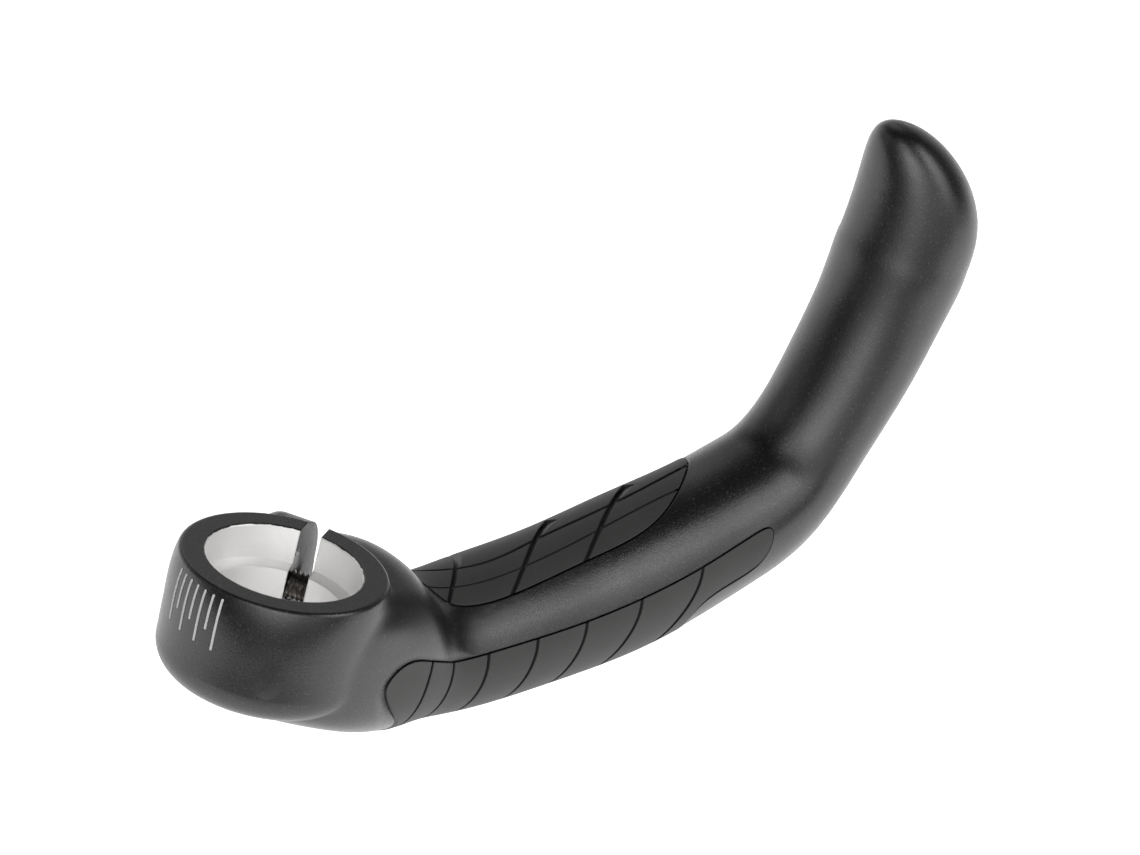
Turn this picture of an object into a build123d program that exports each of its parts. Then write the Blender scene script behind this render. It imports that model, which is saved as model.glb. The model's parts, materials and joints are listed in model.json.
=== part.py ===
from build123d import *
from math import cos, pi, radians, sin, tan
import os

# Bicycle bar end: a split clamp with an ergonomic L-bent horn and two inlaid grip pads.
# Millimetres. The origin is on the handlebar's axis at the middle of the clamp's height.
# +Z runs along the handlebar toward its middle, and +X is the way the horn leaves the clamp.

# Clamp
bar_diameter = 22.2
bore_clearance = 0.05
clamp_height = 21.5
recess_step = 1.9
recess_depth = 6.25
recess_cone = 0.65
rim_wall = 4.3
rim_edge = 0.7
bore_edge = 0.3
belly_bulge = 0.55
belly_drop = 13.0
base_edge = 5.2
base_land = 0.2
base_relief_angle = 3.0
base_relief_depth = 14.0

# Slit and ear
slit_azimuth = 31.0
slit_width = 3.65
slit_reach = 34.0
ear_radius = 10.2
ear_offset = 1.6
ear_length = 8.0
ear_edge = 3.0

# Clamp bolt, a socket head cap screw
bolt_size = 5.0
bolt_length = 20.0
bolt_wall = 1.1
bolt_edge = 0.5
head_diameter = 8.5
head_height = 5.0
hex_width = 4.0
hex_depth = 2.5
seat_wall = 4.5
seat_clearance = 0.4
shank_clearance = 0.25
thread_clearance = 0.05
thread_spare = 1.5

# Horn's centreline: three tangent arcs in the plane that holds the handlebar's axis
grip_start = 33.0
grip_drop = 10.15
grip_lift_angle = 1.1
grip_arc_radius = 200.5
grip_arc_angle = 21.15
elbow_arc_radius = 24.1
elbow_arc_angle = 38.5
horn_arc_radius = 113.4
horn_arc_angle = 19.8
waist_share = 0.3

# Horn's oval sections: width across the bend plane, height in it
grip_width = 27.0
grip_height = 23.3
palm_share = 0.65
palm_width = 27.2
palm_height = 25.8
elbow_width = 25.0
elbow_height = 23.7
neck_width = 21.6
neck_height = 21.3
waist_width = 21.9
waist_height = 21.2
tip_width = 23.2
tip_height = 24.1
oval_fullness = 2.0
oval_points = 24

# Horn's root: reach from the axis, drop below the clamp's top, sag below its base,
# narrowing on each side and fullness of the section's corners
root_stations = [
    (-14.0, 1.5, -1.5, 7.2, 4.0),
    (-7.0, 0.8, 0.9, 1.8, 4.0),
    (0.0, 0.6, 3.2, 0.6, 4.0),
    (8.0, 0.6, 5.5, 0.4, 4.2),
    (17.0, 0.9, 8.7, 1.3, 3.0),
    (25.0, 3.1, 10.6, 2.6, 2.25),
]

# Horn's tip: a dome whose top leans toward the horn's inner side and toward +Y, with the fullness
# of its profile and of its lean, and the angle of its last section
dome_height = 21.9
dome_lean_in = 0.71
dome_lean_side = 0.18
dome_fullness = 2.4
dome_lean_fullness = 2.7
dome_sections = 8
dome_end_angle = 87.0

# Grip pads and their pockets. The pad plane holds +X and the way the upper pad faces.
pad_azimuth = 43.0
pad_depth = 2.0
pad_proud = 0.15
pad_gap = 0.3
pad_glue = 0.1
pad_reach = 40.0
relief_margin = 1.5
groove_width = 0.7
line_width = 0.35
groove_depth = 1.0
line_depth = 0.6

# Pad outlines in the pad plane. Each runs past the horn's surface, which then closes it.
upper_pad_edge = [
    (34.6, 7.0),
    (32.3, 1.3),
    (34.0, -3.2),
    (39.5, -4.9),
    (47.3, -4.4),
    (63.4, -1.5),
    (78.5, 2.2),
    (88.5, 8.1),
    (101.5, 16.5),
]
upper_pad_back = [(101.5, 30.0), (34.6, 30.0)]
lower_pad_edge = [
    (22.0, -22.0),
    (17.4, -20.2),
    (13.2, -17.9),
    (11.9, -15.9),
    (13.7, -13.7),
    (22.6, -12.8),
    (42.0, -12.7),
    (62.0, -11.0),
    (80.0, -7.9),
    (97.0, -3.1),
    (101.6, -2.9),
    (101.6, -5.6),
    (97.0, -9.1),
    (86.0, -14.5),
]
lower_pad_back = [(80.0, -35.0), (22.0, -35.0)]

# Upper pad's grooves: three slanted ones of one shape and two thin lines along the pad
upper_groove_shape = [(-1.6, -1.4), (0.0, 0.0), (7.6, 6.0), (20.4, 12.4)]
upper_groove_starts = [(34.4, -3.2), (46.5, -4.4), (63.3, -1.3)]
upper_lines = [
    [(33.8, 5.6), (42.1, 2.6), (57.6, 4.4), (76.3, 8.0), (99.0, 13.1)],
    [(31.0, 0.8), (38.4, -0.8), (51.0, 0.0), (69.3, 3.7), (92.0, 8.4)],
]

# Lower pad's bowed grooves: where each meets the pad's edge, and its lean at a reach below it
lower_groove_tops = [
    (22.9, -12.8, 0.8),
    (30.3, -12.9, 1.2),
    (38.8, -12.8, 1.8),
    (49.4, -12.2, 2.6),
    (60.2, -11.2, 3.2),
    (72.2, -9.5, 4.0),
    (85.7, -6.4, 4.8),
]
lower_groove_reach = 9.0
lower_groove_bow = 0.32

# Scale marks printed on the clamp's wall, opposite the horn
mark_count = 7
mark_pitch = 5.8
mark_width = 0.4
mark_thickness = 0.08
mark_long = 9.3
mark_short = 6.3
mark_drop = 1.2

bore_radius = bar_diameter / 2 + bore_clearance
recess_radius = bore_radius + recess_step
rim_radius = recess_radius + rim_wall
belly_radius = rim_radius + belly_bulge
clamp_top = clamp_height / 2
clamp_base = -clamp_height / 2
recess_floor = clamp_top - recess_depth - recess_cone
slit_side = slit_width / 2
bolt_radius = bolt_size / 2
bolt_distance = bore_radius + bolt_wall + bolt_radius
seat_distance = slit_side + seat_wall
thread_depth = bolt_length - seat_wall - slit_width + thread_spare

radial = Vector(cos(radians(slit_azimuth)), sin(radians(slit_azimuth)), 0)
tangential = Vector(-sin(radians(slit_azimuth)), cos(radians(slit_azimuth)), 0)
pad_up = Vector(0, sin(radians(pad_azimuth)), cos(radians(pad_azimuth)))
pad_plane = Plane(origin=(0, 0, 0), x_dir=(1, 0, 0), z_dir=Vector(1, 0, 0).cross(pad_up))


def bolt_plane(distance):
    """Plane across the bolt's axis, a distance from the slit's middle toward the ear."""
    return Plane(origin=radial * bolt_distance + tangential * distance, x_dir=radial, z_dir=tangential)


ear_plane = Plane(
    origin=radial * (bolt_distance + ear_offset) + tangential * slit_side, x_dir=radial, z_dir=tangential
)


def clamp_wall(grow):
    """Half section of the clamp's outside, from the handlebar's axis to its wall."""
    with BuildSketch(Plane.XZ) as wall:
        with BuildLine():
            rim = (rim_radius + grow, clamp_top)
            belly = (belly_radius + grow, clamp_top - belly_drop)
            base_start = (belly_radius + grow, clamp_base + base_edge)
            side = Spline(rim, belly, base_start, tangents=((0.35, -1), (0, -1)))
            turn = JernArc(side @ 1, (0, -1), base_edge, -90)
            Polyline(turn @ 1, (0, clamp_base), (0, clamp_top), rim)
        make_face()
    return wall.sketch


def turned_wall(grow):
    """The clamp's outside turned round the handlebar's axis."""
    with BuildPart() as wall:
        add(clamp_wall(grow))
        revolve(axis=Axis.Z)
    return wall.part


def oval(width, height, fullness):
    """Closed oval outline: an ellipse at a fullness of two, squarer above it."""
    points = []
    for step in range(oval_points):
        turn = 2 * pi * step / oval_points
        across = abs(2 * cos(turn) / width) ** fullness
        upward = abs(2 * sin(turn) / height) ** fullness
        reach = (across + upward) ** (-1 / fullness)
        points.append((reach * cos(turn), reach * sin(turn)))
    # Evenly numbered points give every section the same knots, which keeps the loft light
    with BuildSketch() as outline:
        with BuildLine():
            add(Edge.make_spline(points, periodic=True, parameters=range(oval_points + 1)))
        make_face()
    return outline.sketch


with BuildLine(Plane.XZ) as centreline:
    lift = radians(grip_lift_angle)
    grip_arc = JernArc((grip_start, -grip_drop), (cos(lift), sin(lift)), grip_arc_radius, grip_arc_angle)
    elbow_arc = JernArc(grip_arc @ 1, grip_arc % 1, elbow_arc_radius, elbow_arc_angle)
    horn_arc = JernArc(elbow_arc @ 1, elbow_arc % 1, horn_arc_radius, horn_arc_angle)

# Stretches of the horn: its arc, the shares of it where the stretch begins and ends, the
# number of sections in it, and the oval's width and height at both ends
horn_stretches = [
    (grip_arc, 0.0, palm_share, 3, grip_width, palm_width, grip_height, palm_height),
    (grip_arc, palm_share, 1.0, 2, palm_width, elbow_width, palm_height, elbow_height),
    (elbow_arc, 0.0, 1.0, 2, elbow_width, neck_width, elbow_height, neck_height),
    (horn_arc, 0.0, waist_share, 1, neck_width, waist_width, neck_height, waist_height),
    (horn_arc, waist_share, 1.0, 3, waist_width, tip_width, waist_height, tip_height),
]


def horn_skin(grow):
    """The horn from the clamp's middle to its square end, grown by a small amount."""
    with BuildPart() as skin:
        for reach, drop, sag, narrowing, fullness in root_stations:
            top = clamp_top - drop + grow
            base = clamp_base - sag - grow
            middle = (reach, 0, (top + base) / 2)
            with BuildSketch(Plane(origin=middle, x_dir=(0, 1, 0), z_dir=(1, 0, 0))):
                add(oval(2 * (belly_radius - narrowing + grow), top - base, fullness))
        with BuildSketch(Plane(origin=grip_arc @ 0, x_dir=(0, 1, 0), z_dir=grip_arc % 0)):
            add(oval(grip_width + 2 * grow, grip_height + 2 * grow, oval_fullness))
        for arc, begin, end, sections, width_in, width_out, height_in, height_out in horn_stretches:
            for step in range(1, sections + 1):
                way = step / sections
                share = begin + (end - begin) * way
                width = width_in + (width_out - width_in) * way + 2 * grow
                height = height_in + (height_out - height_in) * way + 2 * grow
                with BuildSketch(Plane(origin=arc @ share, x_dir=(0, 1, 0), z_dir=arc % share)):
                    add(oval(width, height, oval_fullness))
        loft()
    return skin.part


def tip_dome():
    """Rounded end of the horn: ovals that shrink and lean toward the horn's inner side."""
    forward = horn_arc % 1
    inward = Vector(0, -1, 0).cross(forward)
    top_offset = inward * dome_lean_in * tip_height + Vector(0, 1, 0) * dome_lean_side * tip_width
    with BuildPart() as dome:
        for step in range(dome_sections + 1):
            rise = sin(radians(dome_end_angle * step / dome_sections))
            share = (1 - rise**dome_fullness) ** (1 / dome_fullness)
            offset = (1 - share**dome_lean_fullness) / 2
            middle = (horn_arc @ 1) + forward * dome_height * rise + top_offset * offset
            with BuildSketch(Plane(origin=middle, x_dir=(0, 1, 0), z_dir=forward)):
                add(oval(tip_width * share, tip_height * share, oval_fullness))
        loft()
    return dome.part


def clamp_cuts(margin):
    """What the bar, the grip's end and the facing tool take out, and a margin round the relief."""
    relief_radius = belly_radius - base_edge + base_land + margin
    relief_reach = base_relief_depth * tan(radians(base_relief_angle))
    with BuildPart() as cuts:
        with BuildSketch(Plane.XZ):
            with BuildLine():
                Polyline(
                    (0, clamp_top + rim_edge),
                    (recess_radius + bore_edge + rim_edge, clamp_top + rim_edge),
                    (recess_radius, clamp_top - bore_edge),
                    (recess_radius, clamp_top - recess_depth),
                    (bore_radius, recess_floor),
                    (bore_radius, clamp_base + bore_edge),
                    (bore_radius + bore_edge, clamp_base),
                    (relief_radius, clamp_base),
                    (relief_radius + relief_reach, clamp_base - base_relief_depth),
                    (0, clamp_base - base_relief_depth),
                    close=True,
                )
            make_face()
        revolve(axis=Axis.Z)
    return cuts.part


def pad_prism(edge, back):
    """A pad's outline carried right through the horn."""
    with BuildPart() as prism:
        with BuildSketch(pad_plane):
            with BuildLine():
                side = Spline(*edge)
                Polyline(side @ 1, *back, side @ 0)
            make_face()
        extrude(amount=pad_reach, both=True)
    return prism.part


def groove_blade(points, width):
    """A thin blade through the horn along a line in the pad plane."""
    with BuildPart() as blade:
        with BuildSketch(pad_plane):
            with BuildLine():
                Spline(*points)
            trace(line_width=width)
        extrude(amount=pad_reach, both=True)
    return blade.part


# One-piece metal body: clamp ring, ear and horn, then the bore, slit, bolt holes and pockets
horn = horn_skin(0)
pocket_core = horn_skin(-pad_depth)
pad_core = horn_skin(-pad_depth + pad_glue)
pad_skin = horn_skin(pad_proud)
groove_floor = horn_skin(pad_proud - groove_depth)
line_floor = horn_skin(pad_proud - line_depth)

with BuildPart() as body:
    add(turned_wall(0))
    rim = body.faces().sort_by(Axis.Z)[-1]
    fillet(rim.edges(), rim_edge)
    with BuildSketch(ear_plane):
        Circle(ear_radius)
    extrude(amount=ear_length)
    fillet(body.faces().sort_by(Axis((0, 0, 0), tangential))[-1].edges(), ear_edge)
    add(horn)
    add(tip_dome())
    # Bore, grip recess and base relief
    add(clamp_cuts(0), mode=Mode.SUBTRACT)
    # Slit
    with BuildSketch(Plane.XY.offset(clamp_base - base_relief_depth)):
        with Locations(Location(radial * slit_reach / 2, slit_azimuth)):
            Rectangle(slit_reach, slit_width)
    extrude(amount=clamp_height + base_relief_depth + rim_edge, mode=Mode.SUBTRACT)
    # Bolt's way: seat for its head, clearance through the ear and thread in the horn's root
    with BuildSketch(bolt_plane(seat_distance)):
        Circle(head_diameter / 2 + seat_clearance)
    extrude(amount=ear_length + head_height, mode=Mode.SUBTRACT)
    with BuildSketch(bolt_plane(0)):
        Circle(bolt_radius + shank_clearance)
    extrude(amount=seat_distance, mode=Mode.SUBTRACT)
    with BuildSketch(bolt_plane(0)):
        Circle(bolt_radius + thread_clearance)
    extrude(amount=-slit_side - thread_depth, mode=Mode.SUBTRACT)
    # Pockets for the pads
    for edge, back in ((upper_pad_edge, upper_pad_back), (lower_pad_edge, lower_pad_back)):
        add(pad_prism(edge, back) - pocket_core - clamp_cuts(relief_margin), mode=Mode.SUBTRACT)

with BuildPart() as upper_pad:
    add(pad_prism(upper_pad_edge, upper_pad_back))
    add(pad_skin, mode=Mode.INTERSECT)
    add(pad_core, mode=Mode.SUBTRACT)
    add(groove_blade(upper_pad_edge, 2 * pad_gap), mode=Mode.SUBTRACT)
    for x, d in upper_groove_starts:
        blade = groove_blade([(x + dx, d + dd) for dx, dd in upper_groove_shape], groove_width)
        add(blade - groove_floor, mode=Mode.SUBTRACT)
    for points in upper_lines:
        add(groove_blade(points, line_width) - line_floor, mode=Mode.SUBTRACT)

with BuildPart() as lower_pad:
    add(pad_prism(lower_pad_edge, lower_pad_back))
    add(pad_skin, mode=Mode.INTERSECT)
    add(pad_core, mode=Mode.SUBTRACT)
    add(groove_blade(lower_pad_edge, 2 * pad_gap), mode=Mode.SUBTRACT)
    add(clamp_cuts(relief_margin + pad_gap), mode=Mode.SUBTRACT)
    for x, d, lean in lower_groove_tops:
        points = [
            (x, d + lower_groove_reach / 4),
            (x - lean * lower_groove_bow, d - lower_groove_reach / 2),
            (x - lean, d - lower_groove_reach),
            (x - 2 * lean, d - 2 * lower_groove_reach),
        ]
        add(groove_blade(points, groove_width) - groove_floor, mode=Mode.SUBTRACT)

# Thin printed lines on the clamp's wall, long and short by turns
with BuildPart() as scale_marks:
    for index in range(mark_count):
        azimuth = 180 + (index - (mark_count - 1) / 2) * mark_pitch
        length = mark_short if index % 2 else mark_long
        outward = Vector(cos(radians(azimuth)), sin(radians(azimuth)), 0)
        middle = Vector(0, 0, clamp_top - mark_drop - length / 2)
        with BuildSketch(Plane(origin=middle, x_dir=(0, 0, 1), z_dir=outward)):
            SlotOverall(length, mark_width)
        extrude(amount=2 * belly_radius)
    add(turned_wall(mark_thickness), mode=Mode.INTERSECT)
    add(turned_wall(0), mode=Mode.SUBTRACT)

# M5 socket head cap screw
with BuildPart() as clamp_bolt:
    with BuildSketch(bolt_plane(seat_distance)):
        Circle(head_diameter / 2)
    extrude(amount=head_height)
    chamfer(clamp_bolt.faces().sort_by(Axis((0, 0, 0), tangential))[-1].edges(), bolt_edge)
    with BuildSketch(bolt_plane(seat_distance + head_height)):
        RegularPolygon(hex_width / 2, 6, major_radius=False)
    extrude(amount=-hex_depth, mode=Mode.SUBTRACT)
    with BuildSketch(bolt_plane(seat_distance)):
        Circle(bolt_radius)
    extrude(amount=-bolt_length)
    chamfer(clamp_bolt.faces().sort_by(Axis((0, 0, 0), tangential))[0].edges(), bolt_edge)

os.makedirs("parts", exist_ok=True)
body.part.label = "clamp_and_horn"
export_step(body.part, "parts/clamp_and_horn.step")
upper_pad.part.label = "upper_grip_pad"
export_step(upper_pad.part, "parts/upper_grip_pad.step")
lower_pad.part.label = "lower_grip_pad"
export_step(lower_pad.part, "parts/lower_grip_pad.step")
scale_marks.part.label = "scale_marks"
export_step(scale_marks.part, "parts/scale_marks.step")
clamp_bolt.part.label = "clamp_bolt"
export_step(clamp_bolt.part, "parts/clamp_bolt.step")
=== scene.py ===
import json
from math import cos, pi, radians, sin

import bmesh
import bpy
from mathutils import Matrix, Vector


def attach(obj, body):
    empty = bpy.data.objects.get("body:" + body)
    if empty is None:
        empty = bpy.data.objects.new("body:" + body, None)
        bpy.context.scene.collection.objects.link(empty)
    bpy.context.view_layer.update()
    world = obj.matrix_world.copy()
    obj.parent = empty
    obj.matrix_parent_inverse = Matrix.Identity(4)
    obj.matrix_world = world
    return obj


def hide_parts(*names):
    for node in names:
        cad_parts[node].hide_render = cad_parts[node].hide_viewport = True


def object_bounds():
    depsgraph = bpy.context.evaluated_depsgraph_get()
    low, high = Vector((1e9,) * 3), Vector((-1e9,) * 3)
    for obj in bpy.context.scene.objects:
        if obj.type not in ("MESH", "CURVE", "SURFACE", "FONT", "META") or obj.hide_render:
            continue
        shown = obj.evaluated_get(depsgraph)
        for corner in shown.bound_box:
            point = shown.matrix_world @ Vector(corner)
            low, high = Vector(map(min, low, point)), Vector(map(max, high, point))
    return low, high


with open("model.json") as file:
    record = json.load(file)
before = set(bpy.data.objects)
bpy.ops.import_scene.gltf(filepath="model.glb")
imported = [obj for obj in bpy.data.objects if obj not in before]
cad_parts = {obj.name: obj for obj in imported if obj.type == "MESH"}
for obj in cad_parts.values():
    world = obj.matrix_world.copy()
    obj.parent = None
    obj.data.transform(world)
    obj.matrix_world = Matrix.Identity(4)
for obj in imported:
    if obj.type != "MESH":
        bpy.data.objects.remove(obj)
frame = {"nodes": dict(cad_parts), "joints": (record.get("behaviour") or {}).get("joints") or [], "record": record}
cad_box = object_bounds()

# Bicycle bar end: satin black metal body with a bare machined bore, two rubber grip pads,
# printed scale marks and a socket head cap screw. Metres, in the part's own frame.
MM = 0.001

# Sizes that the frame states
mounts = {mount["name"]: mount for mount in frame["record"]["mounts"]}
BORE_RADIUS = mounts["bar_clamp"]["dims"]["r_mm"] * MM
RECESS_RADIUS = mounts["grip_recess"]["dims"]["r_mm"] * MM
BOLT_JOINT = frame["joints"][0]
BOLT_AXIS = Vector(BOLT_JOINT["axis"]).normalized()
BOLT_PLACE = Vector(BOLT_JOINT["pos_m"])
SLIT_WAY = Vector((BOLT_AXIS.y, -BOLT_AXIS.x, 0))

# Foot of the ledge between the bore and the recess for the grip's end
LEDGE_HEIGHT = 3.85 * MM

# Bare metal reaches past the bore's and the recess's walls by these, give or take the ragged paint edge
BORE_MARGIN = 0.2 * MM
RECESS_MARGIN = 0.16 * MM
LEDGE_MARGIN = 0.05 * MM
RAGGED_GRAIN = 1.6 * MM
RAGGED_LOW = -0.1 * MM
RAGGED_HIGH = 0.05 * MM
TURNING_PITCH = 0.22 * MM

# Slit: half its width, the tool streaks on its face, which lean 30 degrees from upright and are drawn
# lighter as a painted highlight along the tool marks, and a scuffed patch above the bolt
SLIT_SIDE = 1.825 * MM
FACE_MARGIN = 0.12 * MM
STREAK_SLOPE = (SLIT_WAY * 0.5 + Vector((0, 0, 0.87))).normalized()
STREAK_LENGTH = 4 * MM
STREAK_WIDTH = 0.4 * MM
PATCH_RISE = 4.4 * MM
PATCH_INSET = 0.9 * MM
PATCH_GRAIN = 0.8 * MM
PATCH_LEAST = 0.9 * MM
PATCH_MOST = 2.4 * MM

# Paint: its grain and flecks, the depth of its orange peel, and the rounding of edges and of folds
PAINT_GRAIN = 0.3 * MM
FLECK_GRAIN = 0.42 * MM
PEEL_DEPTH = 0.035 * MM
EDGE_RADIUS = 0.3 * MM
FOLD_RADIUS = 3.5 * MM

# Root of the horn, where its skin meets the clamp's wall
ROOT_START = 0 * MM
ROOT_END = 36 * MM
ROOT_RADIUS = 15.8 * MM
ROOT_TOP = 9.5 * MM
ROOT_FADE = 3 * MM
ROOT_WALL_FADE = 1 * MM
ROOT_TOP_FADE = 2 * MM

# Plane in which the horn's tip begins to round off
TIP_PLACE = Vector((129.9, 0, 52.06)) * MM
TIP_WAY = Vector((0.164, 0, 0.986))
TIP_NEAR = 3 * MM
TIP_FAR = 8 * MM

# Camera: as the photograph was taken, from the near side and above
CAMERA_PLACE = Vector((-636.083, -636.083, 447.552)) * MM
CAMERA_RIGHT = Vector((0.72858273, -0.64731944, 0.22393025))
CAMERA_UP = Vector((0.12582764, 0.44784903, 0.88521108))
CAMERA_LENS = 195.137
SENSOR_WIDTH = 36.0
CAMERA_NEAR, CAMERA_FAR = 0.05, 60.0

# Floor: a pale sweep that starts a little in front of the part and runs far behind it
FLOOR_DROP = 45 * MM
FLOOR_FRONT = 0.16
FLOOR_SIZE = 12.0
FLOOR_AZIMUTH = 225.0
FLOOR_LEVEL = 0.82
FLOOR_GRAIN = 0.4

# Studio: soft glows of the world, each an azimuth, an elevation and a level. Low broad light comes
# from the camera's side, and fainter light all round and from above.
WORLD_LEVEL = 0.01
GLOW_FULLNESS = 30.0
STUDIO_GLOWS = [
    (0, 0, 0.5),
    (30, 0, 0.7),
    (60, 0, 1.0),
    (80, 0, 0.8),
    (100, 0, 0.8),
    (120, 0, 0.3),
    (190, 0, 0.2),
    (210, 0, 0.6),
    (230, 0, 1.9),
    (250, 0, 0.5),
    (270, 0, 0.8),
    (20, 22, 0.4),
    (60, 22, 0.35),
    (100, 22, 0.55),
    (140, 22, 0.6),
    (160, 22, 0.2),
    (200, 22, 0.6),
    (220, 22, 2.5),
    (240, 22, 2.1),
    (260, 22, 0.4),
    (280, 22, 0.5),
    (60, 45, 0.7),
    (210, 45, 1.5),
]

# Softboxes: name, azimuth, elevation, distance, width, height and power in watts
SOFTBOXES = [
    ("key", 300, 45, 0.9, 0.45, 0.45, 1.65),
    ("fill", 300, 22, 0.9, 0.45, 0.45, 1.0),
]

# Bolt: head, hexagonal socket, thread and knurl. Edges of more than BOLT_SHARP degrees stay sharp.
HEAD_HEIGHT = 5.0 * MM
HEX_ACROSS = 4.0 * MM
HEX_DEPTH = 2.5 * MM
HEX_EDGE = 0.25 * MM
HEX_POINT = 0.6 * MM
HEAD_EDGE = 0.5 * MM
EDGE_STEPS = 4
THREAD_PITCH = 0.8 * MM
THREAD_DEPTH = 0.45 * MM
THREAD_FLANK = 1.25
THREAD_CREST = 0.12
THREAD_SAMPLES = 8
TURN_STEPS = 144
KNURL_TEETH = 36
KNURL_DEPTH = 0.12 * MM
KNURL_EDGE = 0.3 * MM
BOLT_SHARP = 40.0


class Shader:
    """A material's node tree, with short calls to add and join nodes."""

    def __init__(self, name):
        self.material = bpy.data.materials.new(name)
        self.material.use_nodes = True
        self.tree = self.material.node_tree
        self.surface = self.tree.nodes["Principled BSDF"]

    def node(self, kind, **settings):
        made = self.tree.nodes.new(kind)
        for name, value in settings.items():
            setattr(made, name, value)
        return made

    def join(self, source, target):
        self.tree.links.new(source, target)

    def put(self, socket, value):
        """Links an output to a socket, or sets the socket to a plain value."""
        if isinstance(value, bpy.types.NodeSocket):
            self.join(value, socket)
        else:
            socket.default_value = value

    def math(self, operation, first, second=0.0):
        made = self.node("ShaderNodeMath", operation=operation)
        self.put(made.inputs[0], first)
        self.put(made.inputs[1], second)
        return made.outputs[0]

    def place(self):
        """Position on the object, in metres in the part's frame."""
        return self.node("ShaderNodeTexCoord").outputs["Object"]

    def noise(self, grain, detail=2.0, roughness=0.5, place=None):
        """Noise whose features are about as large as grain, in metres."""
        made = self.node("ShaderNodeTexNoise")
        made.inputs["Scale"].default_value = 1 / grain
        made.inputs["Detail"].default_value = detail
        made.inputs["Roughness"].default_value = roughness
        self.join(place or self.place(), made.inputs["Vector"])
        return made.outputs["Fac"]

    def dot(self, place, way):
        """How far a place lies along a way from the origin."""
        made = self.node("ShaderNodeVectorMath", operation="DOT_PRODUCT")
        self.join(place, made.inputs[0])
        made.inputs[1].default_value = way
        return made.outputs["Value"]

    def near(self, value, centre, reach):
        """One within a reach of a centre value, and zero outside it."""
        made = self.node("ShaderNodeMath", operation="COMPARE")
        self.put(made.inputs[0], value)
        self.put(made.inputs[1], centre)
        self.put(made.inputs[2], reach)
        return made.outputs[0]

    def streaks(self, place, along, across, length, width):
        """Noise drawn out along one way, for scratches and tool marks."""
        joined = self.node("ShaderNodeCombineXYZ")
        self.join(self.math("DIVIDE", self.dot(place, across), width), joined.inputs[0])
        self.join(self.math("DIVIDE", self.dot(place, along), length), joined.inputs[1])
        made = self.node("ShaderNodeTexNoise")
        made.inputs["Scale"].default_value = 1.0
        self.join(joined.outputs[0], made.inputs["Vector"])
        return made.outputs["Fac"]

    def ramp(self, value, low, high, low_result=0.0, high_result=1.0):
        """Maps a value between two limits onto two results, held at both ends."""
        made = self.node("ShaderNodeMapRange", clamp=True)
        for name, number in (("From Min", low), ("From Max", high),
                             ("To Min", low_result), ("To Max", high_result)):
            self.put(made.inputs[name], number)
        self.put(made.inputs["Value"], value)
        return made.outputs["Result"]

    def spread(self, noise, low_result, high_result):
        """Maps the range where most of a noise lies onto two results."""
        return self.ramp(noise, 0.3, 0.7, low_result, high_result)

    def blend(self, share, first, second):
        """Mixes two colours."""
        made = self.node("ShaderNodeMix", data_type="RGBA")
        self.put(made.inputs["Factor"], share)
        self.put(made.inputs["A"], first)
        self.put(made.inputs["B"], second)
        return made.outputs["Result"]

    def bump(self, height, distance, strength=1.0, normal=None):
        made = self.node("ShaderNodeBump")
        made.inputs["Distance"].default_value = distance
        made.inputs["Strength"].default_value = strength
        self.join(height, made.inputs["Height"])
        if normal:
            self.join(normal, made.inputs["Normal"])
        return made.outputs["Normal"]

    def soft_edges(self, radius):
        """Normals that round off edges by a small radius."""
        made = self.node("ShaderNodeBevel", samples=8)
        self.put(made.inputs["Radius"], radius)
        return made.outputs["Normal"]


def grey(level, warmth=0.0):
    """A near-neutral colour, warmer above zero warmth."""
    return (level * (1 + warmth), level, level * (1 - warmth), 1.0)


def slit_marks(s, place):
    """Masks for the slit's face by the ear, the painted highlight along its tool streaks and a scuffed bare patch.
    """
    face = s.near(s.dot(place, BOLT_AXIS), SLIT_SIDE, FACE_MARGIN)
    outside = s.math("GREATER_THAN", s.dot(place, SLIT_WAY), BORE_RADIUS - BORE_MARGIN)
    face = s.math("MULTIPLY", face, outside)
    across = STREAK_SLOPE.cross(BOLT_AXIS)
    # Tool streaks on the slit's face, which carry a painted highlight
    tool_streak_sheen = s.streaks(place, STREAK_SLOPE, across, STREAK_LENGTH, STREAK_WIDTH)
    tool_streak_sheen = s.math("MULTIPLY", s.ramp(tool_streak_sheen, 0.62, 0.7), face)
    patch_centre = BOLT_PLACE + BOLT_AXIS * SLIT_SIDE - SLIT_WAY * PATCH_INSET
    patch_centre.z += PATCH_RISE
    away = s.node("ShaderNodeVectorMath", operation="DISTANCE")
    s.join(place, away.inputs[0])
    away.inputs[1].default_value = patch_centre
    ragged = s.noise(PATCH_GRAIN, detail=3.0, place=place)
    edge = s.spread(ragged, PATCH_LEAST, PATCH_MOST)
    patch = s.math("MULTIPLY", s.math("LESS_THAN", away.outputs["Value"], edge), face)
    return face, tool_streak_sheen, patch


def fold_softness(s, place, x, z, radius):
    """Rounding of the shading: wide at the horn's root and where its tip begins, small elsewhere."""
    beyond = s.ramp(x, ROOT_START, ROOT_START + ROOT_FADE)
    beside = s.ramp(radius, ROOT_RADIUS - ROOT_WALL_FADE, ROOT_RADIUS)
    below = s.ramp(z, ROOT_TOP - ROOT_TOP_FADE, ROOT_TOP, 1.0, 0.0)
    before = s.ramp(x, ROOT_END - ROOT_FADE, ROOT_END, 1.0, 0.0)
    root = s.math("MULTIPLY", s.math("MULTIPLY", beyond, beside), s.math("MULTIPLY", below, before))
    past_tip = s.math("SUBTRACT", s.dot(place, TIP_WAY), TIP_PLACE.dot(TIP_WAY))
    tip = s.ramp(s.math("ABSOLUTE", past_tip), TIP_NEAR, TIP_FAR, 1.0, 0.0)
    return s.ramp(s.math("MAXIMUM", root, tip), 0.0, 1.0, EDGE_RADIUS, FOLD_RADIUS)


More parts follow.
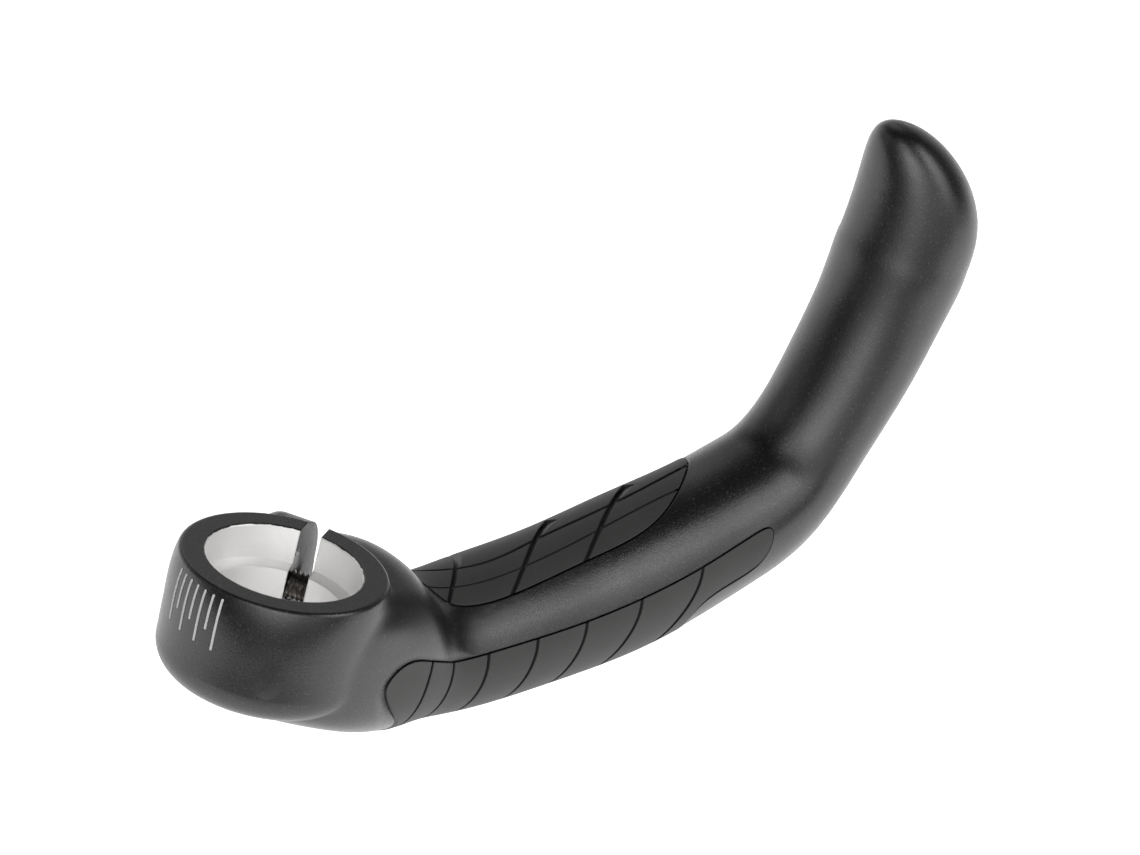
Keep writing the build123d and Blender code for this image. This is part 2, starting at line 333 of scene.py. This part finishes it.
def body_material():
    """Satin black paint with fine flecks, and bare machined metal inside the bore."""
    s = Shader("satin_black_body")
    place = s.place()
    parts = s.node("ShaderNodeSeparateXYZ")
    s.join(place, parts.inputs[0])
    x, y, z = parts.outputs
    radius = s.math("SQRT", s.math("ADD", s.math("MULTIPLY", x, x), s.math("MULTIPLY", y, y)))

    # Bare metal lies inside this radius, which steps out above the ledge and is ragged by the paint
    ragged = s.spread(s.noise(RAGGED_GRAIN, detail=4.0, place=place), RAGGED_LOW, RAGGED_HIGH)
    above = s.ramp(z, LEDGE_HEIGHT - LEDGE_MARGIN, LEDGE_HEIGHT + LEDGE_MARGIN)
    wall = s.ramp(above, 0.0, 1.0, BORE_RADIUS + BORE_MARGIN, RECESS_RADIUS + RECESS_MARGIN)
    edge = s.math("ADD", wall, ragged)
    face, tool_streak_sheen, patch = slit_marks(s, place)
    bare = s.math("MAXIMUM", s.math("LESS_THAN", radius, edge), patch)

    grain = s.noise(PAINT_GRAIN, detail=2.0, roughness=0.6, place=place)
    fleck = s.ramp(s.noise(FLECK_GRAIN, detail=2.0, place=place), 0.6, 0.72)
    wide = s.noise(14 * MM, detail=2.0, place=place)
    paint = s.blend(s.math("MULTIPLY", fleck, 0.7), grey(0.006), grey(0.06))
    # The tool streaks on the slit's face are drawn lighter: a painted highlight along the tool marks
    paint = s.blend(s.math("MULTIPLY", tool_streak_sheen, 0.6), paint, grey(0.16))
    metal = s.blend(grain, grey(0.9, 0.01), grey(0.98, 0.01))
    s.join(s.blend(bare, paint, metal), s.surface.inputs["Base Color"])
    s.join(s.math("MULTIPLY", bare, 0.55), s.surface.inputs["Metallic"])
    s.join(s.ramp(face, 0.0, 1.0, 0.8, 0.08), s.surface.inputs["Specular IOR Level"])

    paint_rough = s.math("ADD", s.spread(wide, 0.28, 0.34), s.spread(grain, -0.05, 0.05))
    rough = s.node("ShaderNodeMix", data_type="FLOAT")
    s.put(rough.inputs["Factor"], bare)
    s.put(rough.inputs["A"], paint_rough)
    s.put(rough.inputs["B"], s.spread(grain, 0.38, 0.5))
    s.join(rough.outputs["Result"], s.surface.inputs["Roughness"])

    # Fine turning lines in the bore and orange-peel grain on the paint
    turned = s.math("SINE", s.math("MULTIPLY", z, 2 * pi / TURNING_PITCH))
    lines = s.math("MULTIPLY", turned, s.math("MULTIPLY", bare, 0.35))
    height = s.math("ADD", grain, lines)
    softness = fold_softness(s, place, x, z, radius)
    s.join(s.bump(height, PEEL_DEPTH, 0.9, s.soft_edges(softness)), s.surface.inputs["Normal"])
    return s.material


def rubber_material():
    """Matt grey-black rubber with a fine moulded grain."""
    s = Shader("pad_rubber")
    place = s.place()
    grain = s.noise(0.12 * MM, detail=3.0, roughness=0.65, place=place)
    wide = s.noise(9 * MM, detail=2.0, place=place)
    base = s.blend(s.spread(wide, 0.0, 1.0), grey(0.028, 0.02), grey(0.038, 0.02))
    s.join(s.blend(s.ramp(grain, 0.35, 0.75), base, grey(0.055, 0.02)), s.surface.inputs["Base Color"])
    s.join(s.spread(grain, 0.5, 0.62), s.surface.inputs["Roughness"])
    s.join(s.bump(grain, 0.025 * MM, 0.9, s.soft_edges(0.22 * MM)), s.surface.inputs["Normal"])
    return s.material


def steel_material():
    """Black oxide steel, worn a little lighter here and there."""
    s = Shader("black_oxide_steel")
    place = s.place()
    wear = s.ramp(s.noise(0.6 * MM, detail=4.0, roughness=0.6, place=place), 0.45, 0.7)
    s.join(s.blend(wear, grey(0.16, 0.06), grey(0.36, 0.08)), s.surface.inputs["Base Color"])
    s.surface.inputs["Metallic"].default_value = 1.0
    s.join(s.ramp(wear, 0.0, 1.0, 0.42, 0.3), s.surface.inputs["Roughness"])
    grain = s.noise(0.1 * MM, place=place)
    s.join(s.bump(grain, 0.01 * MM, 0.6), s.surface.inputs["Normal"])
    return s.material


def print_material():
    """White printing ink, slightly uneven."""
    s = Shader("white_print")
    patch = s.noise(0.25 * MM, detail=3.0)
    s.join(s.blend(s.ramp(patch, 0.35, 0.7), grey(0.86), grey(0.7)), s.surface.inputs["Base Color"])
    s.join(s.spread(patch, 0.45, 0.6), s.surface.inputs["Roughness"])
    return s.material


def dress(node, material):
    """Gives every slot of a CAD node one finished material."""
    mesh = frame["nodes"][node].data
    mesh.materials.clear()
    mesh.materials.append(material)


def mesh_object(name, points, faces, material):
    """A smooth-shaded mesh object in the part's frame."""
    mesh = bpy.data.meshes.new(name)
    mesh.from_pydata(points, [], faces)
    work = bmesh.new()
    work.from_mesh(mesh)
    bmesh.ops.recalc_face_normals(work, faces=work.faces)
    work.to_mesh(mesh)
    work.free()
    mesh.materials.append(material)
    mesh.shade_smooth()
    made = bpy.data.objects.new(name, mesh)
    bpy.context.scene.collection.objects.link(made)
    return made


def turned_grid(rings, low_cap, high_cap):
    """Points and faces of a closed surface made of rings, each a height and a radius by angle."""
    points = []
    for height, radius_at in rings:
        for step in range(TURN_STEPS):
            angle = 2 * pi * step / TURN_STEPS
            radius = radius_at(angle)
            points.append((radius * cos(angle), radius * sin(angle), height))
    faces = []
    for ring in range(len(rings) - 1):
        for step in range(TURN_STEPS):
            after = (step + 1) % TURN_STEPS
            low = ring * TURN_STEPS
            high = low + TURN_STEPS
            faces.append((low + step, low + after, high + after, high + step))
    last = (len(rings) - 1) * TURN_STEPS
    for cap, ring_start in ((low_cap, 0), (high_cap, last)):
        points.append((0, 0, cap))
        centre = len(points) - 1
        for step in range(TURN_STEPS):
            faces.append((ring_start + step, ring_start + (step + 1) % TURN_STEPS, centre))
    return points, faces


def make_bolt():
    """Socket head cap screw with a real thread, a knurled head and a hexagonal socket."""
    axis, centre = BOLT_AXIS, BOLT_PLACE
    corners = [vertex.co - centre for vertex in frame["nodes"]["clamp_bolt"].data.vertices]
    along = [corner.dot(axis) for corner in corners]
    top, end = max(along), min(along)
    seat = top - HEAD_HEIGHT
    head_radius = max((corner - axis * corner.dot(axis)).length for corner in corners)
    shank = [corner for corner in corners if corner.dot(axis) < seat - HEAD_EDGE]
    shank_radius = max((corner - axis * corner.dot(axis)).length for corner in shank)

    def even(radius):
        return lambda angle: radius

    def threaded(height):
        from_end = height - end
        limit = shank_radius - THREAD_DEPTH + max(from_end, 0)
        fade = min(1.0, max(0.0, (seat - height) / THREAD_PITCH))

        def radius_at(angle):
            phase = (from_end / THREAD_PITCH - angle / (2 * pi)) % 1.0
            flank = abs(2 * phase - 1)
            cut = THREAD_DEPTH * min(1.0, max(0.0, THREAD_FLANK * flank - THREAD_CREST)) * fade
            return min(shank_radius - cut, limit)

        return radius_at

    def knurled(depth):
        return lambda angle: head_radius - depth * (0.5 - 0.5 * cos(KNURL_TEETH * angle))

    def hexagon(grow):
        return lambda angle: (HEX_ACROSS / 2 + grow) / cos(angle % (pi / 3) - pi / 6)

    rings = []
    steps = int((seat - end) / THREAD_PITCH * THREAD_SAMPLES)
    for step in range(steps + 1):
        height = end + (seat - end) * step / steps
        rings.append((height, threaded(height)))
    knurl_top = top - HEAD_EDGE - KNURL_EDGE
    rings += [
        (seat, even(head_radius - KNURL_EDGE)),
        (seat + KNURL_EDGE, knurled(0)),
        (seat + 2 * KNURL_EDGE, knurled(KNURL_DEPTH)),
        (knurl_top - KNURL_EDGE, knurled(KNURL_DEPTH)),
        (knurl_top, knurled(0)),
    ]
    for step in range(EDGE_STEPS + 1):
        turn = pi / 2 * step / EDGE_STEPS
        corner_radius = head_radius - HEAD_EDGE + HEAD_EDGE * cos(turn)
        rings.append((top - HEAD_EDGE + HEAD_EDGE * sin(turn), even(corner_radius)))
    rings += [
        (top, hexagon(HEX_EDGE)),
        (top - HEX_EDGE, hexagon(0)),
        (top - HEX_DEPTH, hexagon(0)),
    ]
    points, faces = turned_grid(rings, end, top - HEX_DEPTH - HEX_POINT)
    side = axis.orthogonal().normalized()
    turn = Matrix((side, axis.cross(side), axis)).transposed()
    placed = [centre + turn @ Vector(point) for point in points]
    bolt = mesh_object("cap_screw", placed, faces, steel_material())
    bolt.data.set_sharp_from_angle(angle=radians(BOLT_SHARP))
    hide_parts("clamp_bolt")
    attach(bolt, "bolt")


def white_to_camera(tree, other_rays):
    """One for camera rays and for the other kinds of ray that are named, and zero for the rest."""
    path = tree.nodes.new("ShaderNodeLightPath")
    total = path.outputs["Is Camera Ray"]
    for name in other_rays:
        both = tree.nodes.new("ShaderNodeMath")
        both.operation = "MAXIMUM"
        tree.links.new(total, both.inputs[0])
        tree.links.new(path.outputs[name], both.inputs[1])
        total = both.outputs[0]
    return total


def make_floor():
    """Pale floor well below the part, white to the camera and in reflections."""
    s = Shader("pale_floor")
    s.surface.inputs["Base Color"].default_value = grey(FLOOR_LEVEL)
    patch = s.spread(s.noise(FLOOR_GRAIN), 0.78, 0.82)
    s.join(patch, s.surface.inputs["Roughness"])
    glow = s.node("ShaderNodeEmission")
    s.join(white_to_camera(s.tree, ["Is Glossy Ray", "Is Transmission Ray"]), glow.inputs["Strength"])
    total = s.node("ShaderNodeAddShader")
    s.join(s.surface.outputs[0], total.inputs[0])
    s.join(glow.outputs[0], total.inputs[1])
    s.join(total.outputs[0], s.tree.nodes["Material Output"].inputs["Surface"])
    middle = (cad_box[0] + cad_box[1]) / 2
    middle.z = cad_box[0].z - FLOOR_DROP
    front = Vector((cos(radians(FLOOR_AZIMUTH)), sin(radians(FLOOR_AZIMUTH)), 0))
    side = Vector((-front.y, front.x, 0)) * FLOOR_SIZE / 2
    near, far = middle + front * FLOOR_FRONT, middle - front * FLOOR_SIZE
    floor = mesh_object("floor", [near - side, near + side, far + side, far - side],
                        [(0, 1, 2, 3)], s.material)


def make_world():
    """White to the camera, and a studio of broad soft glows to everything else."""
    world = bpy.data.worlds.new("studio")
    world.use_nodes = True
    tree = world.node_tree
    way = tree.nodes.new("ShaderNodeTexCoord").outputs["Generated"]
    total = None
    for azimuth, elevation, level in STUDIO_GLOWS:
        a, e = radians(azimuth), radians(elevation)
        toward = tree.nodes.new("ShaderNodeVectorMath")
        toward.operation = "DOT_PRODUCT"
        toward.inputs[1].default_value = (cos(a) * cos(e), sin(a) * cos(e), sin(e))
        tree.links.new(way, toward.inputs[0])
        facing = tree.nodes.new("ShaderNodeMath")
        facing.operation = "MAXIMUM"
        facing.inputs[1].default_value = 0.0
        tree.links.new(toward.outputs["Value"], facing.inputs[0])
        lobe = tree.nodes.new("ShaderNodeMath")
        lobe.operation = "POWER"
        lobe.inputs[1].default_value = GLOW_FULLNESS
        tree.links.new(facing.outputs[0], lobe.inputs[0])
        scaled = tree.nodes.new("ShaderNodeMath")
        scaled.operation = "MULTIPLY_ADD"
        scaled.inputs[1].default_value = level
        scaled.inputs[2].default_value = WORLD_LEVEL
        tree.links.new(lobe.outputs[0], scaled.inputs[0])
        if total:
            tree.links.new(total, scaled.inputs[2])
        total = scaled.outputs[0]
    level = tree.nodes.new("ShaderNodeMapRange")
    level.inputs["To Max"].default_value = 1.0
    tree.links.new(total, level.inputs["To Min"])
    tree.links.new(white_to_camera(tree, []), level.inputs["Value"])
    back = tree.nodes["Background"]
    back.inputs["Color"].default_value = grey(1.0)
    tree.links.new(level.outputs["Result"], back.inputs["Strength"])
    bpy.context.scene.world = world


def make_softbox(name, azimuth, elevation, distance, width, height, power):
    """Area lamp that faces the part's middle from an azimuth about +Z and an elevation."""
    middle = (cad_box[0] + cad_box[1]) / 2
    a, e = radians(azimuth), radians(elevation)
    outward = Vector((cos(a) * cos(e), sin(a) * cos(e), sin(e)))
    lamp = bpy.data.lights.new(name, "AREA")
    lamp.shape = "RECTANGLE"
    lamp.size, lamp.size_y = width, height
    lamp.energy = power
    made = bpy.data.objects.new(name, lamp)
    made.location = middle + outward * distance
    made.rotation_euler = outward.to_track_quat("Z", "Y").to_euler()
    bpy.context.scene.collection.objects.link(made)


def make_camera():
    lens = bpy.data.cameras.new("camera")
    lens.sensor_width = SENSOR_WIDTH
    lens.lens = CAMERA_LENS
    lens.clip_start, lens.clip_end = CAMERA_NEAR, CAMERA_FAR
    camera = bpy.data.objects.new("camera", lens)
    turn = Matrix((CAMERA_RIGHT, CAMERA_UP, CAMERA_RIGHT.cross(CAMERA_UP))).transposed()
    camera.matrix_world = Matrix.Translation(CAMERA_PLACE) @ turn.to_4x4()
    bpy.context.scene.collection.objects.link(camera)
    bpy.context.scene.camera = camera


dress("clamp_and_horn", body_material())
rubber = rubber_material()
dress("upper_grip_pad", rubber)
dress("lower_grip_pad", rubber)
dress("scale_marks", print_material())
make_bolt()
make_floor()
make_world()
for softbox in SOFTBOXES:
    make_softbox(*softbox)
make_camera()
bpy.context.scene.view_settings.view_transform = "Standard"
